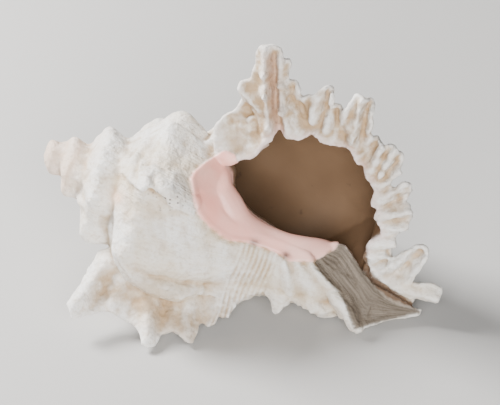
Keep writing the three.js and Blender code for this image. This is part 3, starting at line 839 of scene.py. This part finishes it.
# %% Wear of the old whorls
def spread(values, pairs, rounds):
    """Average values over neighbouring corners a number of times."""
    count = len(values)
    first, second = pairs.T
    uses = np.bincount(pairs.ravel(), minlength=count).astype(float)
    for _ in range(rounds):
        total = np.stack([
            np.bincount(first, column[second], count) + np.bincount(second, column[first], count)
            for column in values.T], axis=1)
        values = 0.5 * values + 0.5 * total / uses[:, None]
    return values


SPIRE_WEAR_ROUNDS = 40
old_whorls = (1 - on_last_whorl) * ramp(s, 38, 34) * (r < 38)
points = mix(points, spread(points, neighbours(shell), SPIRE_WEAR_ROUNDS), old_whorls[:, None])
move_corners(shell, points)
normals = corner_normals(shell)
print("corners of the worn old whorls:", int((old_whorls > 0.5).sum()))

# %% [markdown]
# Callus, cords and wear
#
# The animal lays a thin coat of enamel over the pillar side, with an edge that stands up a little. Below
# it, about eight cords run round the base, then broader folds fan out to the canal. Sand and surf leave
# soft lumps of several sizes. All of them are heights added along the normals of the skin.

# %% Callus and cords
CALLUS_OUTER = np.array((
    (69, 27), (65.8, 21.9), (63.7, 17), (63.7, 13.5), (66.4, 9.5), (72.1, 1.6), (78.7, -1.7), (88.2, -4.2),
    (97.5, -1.7), (109.3, -0.9), (116, -2.2), (125.7, 1.4), (132.5, 10.5)))
CALLUS_INNER = np.array((
    (72, 31), (77, 31), (83, 24), (84, 18), (88, 14.5), (95, 11.5), (104, 11), (110, 11), (119, 13.5),
    (126, 14.5), (132.5, 15)))
CALLUS_THICK, CALLUS_FLAT, CALLUS_RIM = 1.0, 0.75, 0.5
CLEAR_OF_SKIN = 1.5
CORD_PITCH = 2.1
CORD_HEIGHT = 0.32
CORD_FROM, CORD_TO = 93, 113
FAN_MIDDLE = (106.8, 10.4)
FAN_STEP = math.radians(15)
FAN_HEIGHT = 0.45

callus_outline = np.vstack((CALLUS_OUTER, CALLUS_INNER[::-1]))


def callus_mask(piece, points, s, p, v, normals):
    """Corners in the callus outline that the eye sees in front of the chamber's far wall."""
    wanted = within(s, p, callus_outline) & (v > 5) & (normals @ sight > -0.2)
    skin = face_tree(piece)
    towards = Vector(sight)
    for index in np.flatnonzero(wanted):
        start = Vector(points[index] * MM) + towards * (CLEAR_OF_SKIN * MM)
        wanted[index] = skin.ray_cast(start, towards)[0] is None
    return wanted


def fan_wave(s, p):
    """Broad folds that fan out from the lower end of the callus."""
    fan = np.arctan2(s - FAN_MIDDLE[0], FAN_MIDDLE[1] - p)
    return np.cos(2 * np.pi * fan / FAN_STEP + 1.2 * np.sin(fan * 5)) * ramp(fan, 0.3, 0.5)


def cord_wave(s, p):
    return np.cos(2 * np.pi * (s + 0.05 * p + 0.6 * np.sin(p * 0.21)) / CORD_PITCH)


def cord_zone(s, p, body, on_callus):
    """Where the cords run, on the base beside the callus."""
    return (body * ramp(s, CORD_FROM, CORD_FROM + 4) * ramp(s, CORD_TO, CORD_TO - 4) * ramp(p, 1, -3)
            * ~on_callus)


def fan_zone(s, p, body, on_callus):
    return body * ~on_callus * (s > 108) * (p < 2)


print("cords across the base:", round((CORD_TO - CORD_FROM) / CORD_PITCH))

# %% Lumps and a small pitted recess
RECESS = ((77, 45), (6, 8))
# Each kind of lump: height and size in mm, and a shift so that the kinds don't line up.
WORN_LUMPS = ((0.35, 11, 0), (0.2, 5, 3), (0.1, 2.3, 7))


def patch(s, p, middle, reach):
    """A soft spot about a place on the side that the eye sees."""
    return bell(s - middle[0], reach[0]) * bell(p - middle[1], reach[1])


def lumps(points, size):
    """Smooth lumps between -1 and 1, about one size apart, from three crossed waves."""
    x, y, z = (points / size * 2 * np.pi).T
    return (np.sin(x + 1.3 * np.sin(0.7 * y)) + np.sin(1.1 * y + 1.1 * np.sin(0.8 * z))
            + np.sin(0.9 * z + 1.2 * np.sin(0.6 * x))) / 3


body = seen * on_last_whorl * (r < BODY_RADIUS)
on_callus = callus_mask(shell, points, s, p, v, normals)
callus_gap, _ = polyline_gap(s, p, CALLUS_OUTER)
callus_height = on_callus * CALLUS_THICK * (CALLUS_FLAT + CALLUS_RIM * bell(callus_gap - 1, 1.2))
cords = cord_zone(s, p, body, on_callus) * CORD_HEIGHT * cord_wave(s, p)
folds = fan_zone(s, p, body, on_callus) * FAN_HEIGHT * fan_wave(s, p)
worn = sum(height * lumps(points + shift, size) for height, size, shift in WORN_LUMPS)
worn += 0.6 * patch(s, p, *RECESS) * seen * lumps(points + 5, 3.6) + 0.3 * old_whorls * lumps(points + 9, 7)
raised = callus_height + cords + folds + worn * (1 - chamber) * ~on_callus
move_corners(shell, points + normals * raised[:, None])
print("relief from", round(float(raised.min()), 1), "to", round(float(raised.max()), 1), "mm")

# %% [markdown]
# Feet, size and faces
#
# The shell stands on worn spine tips, and no tip reaches past the solid's box, so corners beyond it are
# laid on its sides. The Decimate modifier then takes flat stretches out of the skin until it fits the
# budget of faces, and smooth shading rounds what is left.

# %% Worn tips and flat feet, kept in the solid's box
points = corners(shell)
worn_off = ((points < solid_low) | (points > solid_high)).any(axis=1)
move_corners(shell, np.clip(points, solid_low, solid_high))
print("corners at tips and feet:", int(worn_off.sum()))

# %% Thin out
FACE_BUDGET = 190_000
share_kept = min(1, FACE_BUDGET / triangle_count(shell))
use_modifier(shell, "DECIMATE", decimate_type="COLLAPSE", ratio=share_kept)
bpy.ops.object.shade_smooth()
print("triangles:", triangle_count(shell))

# %% [markdown]
# Colour by place
#
# The finish changes over the shell: pink enamel on the inner lip, brown painted shade in the chamber, a
# ribbed plate painted grey as the lip's shadow, tan in every hollow as dirt and painted shade. Each is
# stored as a number between 0 and 1 on the corners, worked out from where the corner lies. The material
# mixes its colours by them, so no picture is needed.

# %% Hollows and crests
FINE_ROUNDS, WIDE_ROUNDS = 12, 70
FINE_DEPTH, WIDE_DEPTH = 0.4, 1.4

points, normals, s, r, turn, p, v, gap, chamber, seen, on_last_whorl = read_skin(shell)
pairs = neighbours(shell)
near, wide = spread(points, pairs, FINE_ROUNDS), spread(points, pairs, WIDE_ROUNDS)
sunk = np.einsum("ij,ij->i", near - points, normals) / FINE_DEPTH
dip = np.einsum("ij,ij->i", wide - points, normals) / WIDE_DEPTH
sunk, dip = np.clip(spread(np.stack((sunk, dip), axis=1), pairs, 2).T, -1, 1)
print("corners in fine hollows:", int((sunk > 0.5).sum()), "and in broad dips:", int((dip > 0.5).sum()))

# %% Plate, canal band, rim, stains and painted shade, each as a share for every corner
CHANNEL_LINE = np.array(((76, 74), (83, 60), (88, 50), (92, 44)), float)
CANAL_SHADE_OUTLINE = np.array((
    (135, 14), (141, 9.5), (147, 5.3), (155, 1.1), (162, -1), (170, -1), (176, -0.5), (172, 2.1),
    (166, 3.2), (158.9, 4.4), (154, 5.6), (150.3, 7.2), (147.5, 10.5), (145, 15), (140, 18)))
CALLUS_PITS = ((99.3, -0.4), (113.8, -0.3))
PIT_REACH = (1.6, 1.6)
PITTED = ((59, 3), (8, 7))
PEACH_KNOB = ((38.5, -5.6), (3, 3))
# Painted shadow under the node's overhanging edge, as (s, p) and reach.
NODE_SHADE = ((44, -10), (5, 6))
SHELL_LENGTH = 175

body = seen * on_last_whorl * (r < BODY_RADIUS)
on_callus = callus_mask(shell, points, s, p, v, normals)
faces_eye = normals @ sight > 0
behind_lip = np.abs(depth_at(points))
crest_line, low_line = np.array(PLATE_CREST)[:, :2], np.array(PLATE_LOW_EDGE)[:, :2]
# The plate is painted grey as the shadow that the lip casts on it.
on_plate = (faces_eye & (v > 0) & (r < 26) & ~on_callus
            & within(s, p, np.vstack((crest_line, low_line[::-1]))))
# The band by the canal's slot is painted brown as shade.
canal_shade_strip = faces_eye & (r < 22) & ~on_plate & within(s, p, CANAL_SHADE_OUTLINE)
crest_gap, low_gap, outer_gap, channel_gap = (
    polyline_gap(s, p, line)[0] for line in (crest_line, low_line, CALLUS_OUTER, CHANNEL_LINE))
# Painted shadow below the shield's overhanging edge.
shield_shade = bell(p + 43, 9) * (s < 100)
apex_band = bell(s - 13.5, 1.8) * ramp(v, -12, 12)
rim = ramp(np.abs(gap), 3.5, 1) * (1 - chamber) * ramp(behind_lip, 6, 0) * (r > 12)
print("corners on the callus, plate and strip:", int(on_callus.sum()), int(on_plate.sum()), int(canal_shade_strip.sum()))

# %% Store the shares as attributes
fields = {
    # frill and recess (below) carry painted shade, frill with a warm tint as well.
    "frill": ramp(r, 34, 48) * (behind_lip < 9) * faces_eye * ramp(s, 62, 68),
    "outline": bell(outer_gap, 0.9) * (s > 76) * faces_eye * (v > 5) * 0.8,
    "peach": patch(s, p, *PEACH_KNOB) + 0.5 * apex_band,
    "pit": sum(patch(s, p, pit, PIT_REACH) for pit in CALLUS_PITS) * (v > 5),
    "recess": patch(s, p, *RECESS) * seen,
    "channel": bell(channel_gap, 3) * (normals @ sight > 0.2) * (behind_lip < 8),
    # chamber, plate and the canal band carry painted shade and shadow.
    "callus": on_callus.astype(float), "chamber": chamber, "plate": on_plate.astype(float),
    "canal_shade_strip": canal_shade_strip.astype(float), "rim": rim,
    # hollow and dip carry dirt and painted shade; crest carries a painted highlight.
    "hollow": np.clip(sunk, 0, 1), "dip": np.clip(dip, 0, 1), "crest": np.clip(-sunk, 0, 1),
    "cord": cord_zone(s, p, body, on_callus) * np.clip(-cord_wave(s, p), 0, 1),
    "spire": ramp(s, 26, 4), "along": s / SHELL_LENGTH, "across": crest_gap / (crest_gap + low_gap + 0.01),
    "grown": np.radians(turn), "fan": np.clip(-fan_wave(s, p), 0, 1) * body * (s > 108) * (p < 2),
    # shade is painted shadow under the shield's and the node's overhanging edges.
    "shade": body * (shield_shade + 0.6 * patch(s, p, *NODE_SHADE)),
    "pits": patch(s, p, *PITTED) * body}
soft = spread(np.stack(list(fields.values()), axis=1), pairs, 1)
for name, values in zip(fields, soft.T):
    layer = shell.data.attributes.new(name, "FLOAT", "POINT")
    layer.data.foreach_set("value", np.ascontiguousarray(values, np.float32))
print("shares:", {name: round(float(values.mean()), 3) for name, values in fields.items()})

# %% [markdown]
# Bleached shell
#
# Old shell is aragonite that sun and surf have worn to chalk: matt, a cool white with cream clouds, and tan
# in the hollows, partly dirt and partly painted shade; the crests get painted highlights in white. The inner
# lip keeps its enamel, so it is smoother and coral pink. The chamber is smooth, and its brownish beige is
# painted shade; the canal's plate is painted grey as the lip's shadow, and tan below the overhangs is
# painted shadow. Noise on object coordinates breaks up the stains and the painted shade, so that none of
# them ends in a straight line.

# %% Material tools
def colour(hex_code):
    """Linear colour of a hex code in sRGB."""
    parts = [int(hex_code[i:i + 2], 16) / 255 for i in (1, 3, 5)]
    return tuple(c / 12.92 if c <= 0.04045 else ((c + 0.055) / 1.055) ** 2.4 for c in parts) + (1,)


def add_node(tree, kind, inputs=(), **properties):
    """Add a node, set its properties, and set or link its inputs: pairs of (name or number, value)."""
    node = tree.nodes.new(kind)
    for key, value in properties.items():
        setattr(node, key, value)
    for key, value in inputs:
        if isinstance(value, bpy.types.NodeSocket):
            tree.links.new(value, node.inputs[key])
        else:
            node.inputs[key].default_value = value
    return node


def share_of(tree, *parts):
    """The product of attributes, given by name, sockets and plain numbers."""
    parts = [add_node(tree, "ShaderNodeAttribute", attribute_name=part).outputs["Fac"]
             if isinstance(part, str) else part for part in parts]
    total = parts[0]
    for part in parts[1:]:
        total = add_node(tree, "ShaderNodeMath", ((0, total), (1, part)), operation="MULTIPLY").outputs[0]
    return total


def patches(tree, where, size_mm, low, high):
    """Cloudy patches of a size in millimetres, with the noise between low and high spread over 0 to 1."""
    clouds = add_node(tree, "ShaderNodeTexNoise", (
        ("Vector", where), ("Scale", 1000 / size_mm), ("Detail", 3.0)))
    return add_node(tree, "ShaderNodeMapRange", (
        ("Value", clouds.outputs["Fac"]), ("From Min", low), ("From Max", high))).outputs["Result"]


def coat(tree, under, over, *parts):
    """One colour laid over another, as much as the product of the parts says."""
    return add_node(tree, "ShaderNodeMix", (
        ("Factor", share_of(tree, *parts)), (6, under), (7, over)), data_type="RGBA").outputs[2]


print("mid grey in linear values:", round(colour("#808080")[0], 3))

# %% Colours and the start of the bleached shell
CHALK_WHITE, CREAM, TAN = colour("#F2EFEA"), colour("#DCCBB0"), colour("#AC8E68")
CORD_BROWN, PEACH, SPECK = colour("#A8814F"), colour("#EBC4A6"), colour("#4A3A30")
CORAL, PALE_PINK, LILAC = colour("#FA8C7A"), colour("#FFCFC0"), colour("#E3BFB8")
CHANNEL_BEIGE = colour("#B59176")
# The chamber's browns and the plate's greys are painted shade and shadow.
CHAMBER_SHADE_BEIGE, CHAMBER_SHADE_BROWN = colour("#775E47"), colour("#69513C")
PLATE_SHADOW_GREY, PLATE_SHADOW_LINE = colour("#847768"), colour("#594E41")

material = bpy.data.materials.new("bleached_shell")
material.use_nodes = True
tree = material.node_tree
shader = tree.nodes["Principled BSDF"]
where = add_node(tree, "ShaderNodeTexCoord").outputs["Object"]
print("material:", material.name)

# %% [markdown]
# Patterns that grew
#
# Growth lines follow the lip, so they are noise on the turn about the axis and not on space: close together
# round the whorl and long down it. The plate's ribs run along it in the same way. Worm holes are the
# middles of small cells. The enamel mixes two pinks, the paler one partly a painted highlight, and the
# plate's two greys and the chamber's two browns are painted shadow and shade.

# %% Growth lines, worm holes, enamel, and the painted shade of plate and chamber
GROWTH_LINES_A_RADIAN = 42.0
RIBS_ACROSS_PLATE = 16.0
LINES_ALONG_SHELL = 9.0
HOLE_SPACING_MM = 2.2


def lines_along(across, lines, detail, low, high):
    """Long lines down the shell: their noise, and its values between low and high spread over 0 to 1."""
    grown_at = add_node(tree, "ShaderNodeCombineXYZ", (
        ("X", share_of(tree, across, lines)), ("Y", share_of(tree, "along", LINES_ALONG_SHELL))))
    drawn = add_node(tree, "ShaderNodeTexNoise", (
        ("Vector", grown_at.outputs["Vector"]), ("Scale", 1.0), ("Detail", detail))).outputs["Fac"]
    share = add_node(tree, "ShaderNodeMapRange", (("Value", drawn), ("From Min", low), ("From Max", high)))
    return drawn, share.outputs["Result"]


growth, growth_share = lines_along("grown", GROWTH_LINES_A_RADIAN, 4.0, 0.5, 0.75)
_, rib_share = lines_along("across", RIBS_ACROSS_PLATE, 3.0, 0.35, 0.65)
cells = add_node(tree, "ShaderNodeTexVoronoi", (("Vector", where), ("Scale", 1000 / HOLE_SPACING_MM)))
holes = add_node(tree, "ShaderNodeMapRange", (
    ("Value", cells.outputs["Distance"]), ("From Min", 0.3), ("From Max", 0.15))).outputs["Result"]
# The enamel fades from coral to pale pink down the shell; the pale pink is partly its own tone and partly a
# painted highlight.
enamel = coat(tree, CORAL, PALE_PINK, "along")
enamel = coat(tree, enamel, PALE_PINK, patches(tree, where, 16, 0.35, 0.65), 0.7)
# The plate is painted in two greys of shadow that the lip casts on it, darker along its ribs.
plate_shadow_paint = coat(tree, PLATE_SHADOW_LINE, PLATE_SHADOW_GREY, rib_share)
# The chamber is painted in browns of shade, with dark specks; its own wall is paler.
room = coat(tree, CHAMBER_SHADE_BEIGE, CHAMBER_SHADE_BROWN, patches(tree, where, 40, 0.35, 0.65))
room = coat(tree, room, SPECK, patches(tree, where, 7, 0.70, 0.76), 0.5)
print("nodes so far:", len(tree.nodes))

# %% Coats of colour, from the ground up
# Each coat: the parts whose product says where it lies, the patches (size in mm, low, high) that break it
# up, how much of it shows at most, and its colour.
COATS = (
    ((), (24, 0.44, 0.66), 0.75, CREAM),
    # Tan in broad dips and fine hollows is partly dirt and partly painted shade.
    (("dip",), (12, 0.3, 0.6), 0.75, TAN),
    (("hollow",), (8, 0.25, 0.55), 0.9, TAN),
    ((), (5, 0.55, 0.8), 0.45, CREAM),
    # White on the crests is a painted highlight.
    (("crest",), None, 0.6, CHALK_WHITE),
    (("cord",), (7, 0.38, 0.58), 0.95, CORD_BROWN),
    ((growth_share,), None, 0.5, CREAM),
    ((), (1.6, 0.5, 0.75), 0.35, TAN),
    # Tan in the recess and over the lip's fringe is painted shade, over the fringe with a warm tint; white
    # on the fringe's crests is a painted highlight.
    (("recess",), (5, 0.3, 0.6), 0.7, TAN),
    (("frill",), (5, 0.3, 0.58), 0.9, TAN),
    (("crest", "frill"), None, 0.8, CHALK_WHITE),
    (("channel",), None, 0.85, CHANNEL_BEIGE),
    (("spire",), None, 0.55, PEACH),
    (("fan",), None, 0.3, TAN),
    # Painted shadow under the shield and the node, in tan.
    (("shade",), (9, 0.3, 0.55), 0.85, TAN),
    (("peach",), None, 0.8, PEACH),
    ((holes, "pits"), (6, 0.44, 0.5), 1, SPECK),
    (("rim",), None, 0.6, LILAC),
    (("callus",), None, 1, enamel),
    (("outline",), (4, 0.4, 0.6), 1, CORD_BROWN),
    (("pit",), None, 1, SPECK),
    # The plate, the band by the canal's slot and the chamber are painted shadow and shade.
    (("plate",), None, 1, plate_shadow_paint),
    (("canal_shade_strip",), None, 1, CHAMBER_SHADE_BROWN),
    (("chamber",), None, 1, room))

paint = CHALK_WHITE
for parts, patch_sizes, most, over in COATS:
    broken = (patches(tree, where, *patch_sizes),) if patch_sizes else ()
    paint = coat(tree, paint, over, *parts, *broken, most)
tree.links.new(paint, shader.inputs["Base Color"])
print("coats:", len(COATS), "nodes so far:", len(tree.nodes))

# %% [markdown]
# Gloss and grain
#
# Chalk scatters light and enamel throws some of it back, so the roughness falls from 0.68 on the outside to
# 0.34 on the inner lip and in the chamber. Three bumps give the chalk its skin: wrinkles of 5 mm, grain of
# 1.8 mm, which is coarser than real grain so that it shows, and the growth lines.

# %% Gloss and grain
CHALK_ROUGHNESS, ENAMEL_ROUGHNESS = 0.68, 0.34
ENAMEL_GRAIN = 0.08
ARAGONITE_IOR = 1.55
GRAIN_MM, WRINKLE_MM = 1.8, 5

callus, chamber_share = share_of(tree, "callus"), share_of(tree, "chamber")
smooth = add_node(tree, "ShaderNodeMix", (("Factor", callus), (2, chamber_share), (3, 1.0))).outputs[0]
roughness, rough = (
    add_node(tree, "ShaderNodeMix", (("Factor", smooth), (2, on_chalk), (3, on_enamel))).outputs[0]
    for on_chalk, on_enamel in ((CHALK_ROUGHNESS, ENAMEL_ROUGHNESS), (1.0, ENAMEL_GRAIN)))
grain, wrinkles = (
    add_node(tree, "ShaderNodeTexNoise", (("Vector", where), ("Scale", 1000 / size), ("Detail", detail)))
    for size, detail in ((GRAIN_MM, 5.0), (WRINKLE_MM, 4.0)))
# Each bump: what raises it, its strength, and its depth in mm.
BUMPS = ((grain.outputs["Fac"], 0.8, 0.8), (wrinkles.outputs["Fac"], 0.8, 1.8), (growth, 0.5, 0.8))
below = ()
for height, strength, depth in BUMPS:
    bump = add_node(tree, "ShaderNodeBump", (
        ("Height", height), ("Strength", share_of(tree, rough, strength)), ("Distance", depth * MM), *below))
    below = (("Normal", bump.outputs["Normal"]),)
tree.links.new(bump.outputs["Normal"], shader.inputs["Normal"])
tree.links.new(roughness, shader.inputs["Roughness"])
shader.inputs["IOR"].default_value = ARAGONITE_IOR
shell.data.materials.clear()
shell.data.materials.append(material)
print("nodes in all:", len(tree.nodes))

# %% [markdown]
# Floor and light
#
# A pale, matt sheet of paper lets the white shell stand out by its shadows. One small, strong lamp high on
# the left draws the ribs and frills, and a broad, weak one in front lights the mouth as a room would.

# %% Floor
FLOOR_WIDTH = 3
bpy.ops.object.select_all(action="DESELECT")
bpy.ops.mesh.primitive_plane_add(size=FLOOR_WIDTH)
floor = bpy.context.object
floor.name = "floor"
paper = bpy.data.materials.new("pale_paper")
paper.use_nodes = True
paper_shader = paper.node_tree.nodes["Principled BSDF"]
paper_shader.inputs["Base Color"].default_value = colour("#BCBAB7")
paper_shader.inputs["Roughness"].default_value = 0.9
floor.data.materials.append(paper)
print("floor:", FLOOR_WIDTH, "m wide")

# %% Light
# Each lamp: name, place and width in metres, watts.
LAMPS = (("window", (-0.6, 0.3, 0.6), 0.3, 26), ("room", (0.05, -0.9, 0.45), 0.7, 18))
LIT_POINT = Vector((0, 0, 0.04))
for name, position, width, watts in LAMPS:
    lamp_data = bpy.data.lights.new(name, "AREA")
    lamp_data.size = width
    lamp_data.energy = watts
    lamp = bpy.data.objects.new(name, lamp_data)
    bpy.context.scene.collection.objects.link(lamp)
    lamp.location = position
    lamp.rotation_euler = (LIT_POINT - Vector(position)).to_track_quat("-Z", "Y").to_euler()
print("lamps:", len(LAMPS))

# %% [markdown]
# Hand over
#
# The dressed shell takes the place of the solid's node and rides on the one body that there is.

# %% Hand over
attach(shell, "root")
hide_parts("murex_shell")
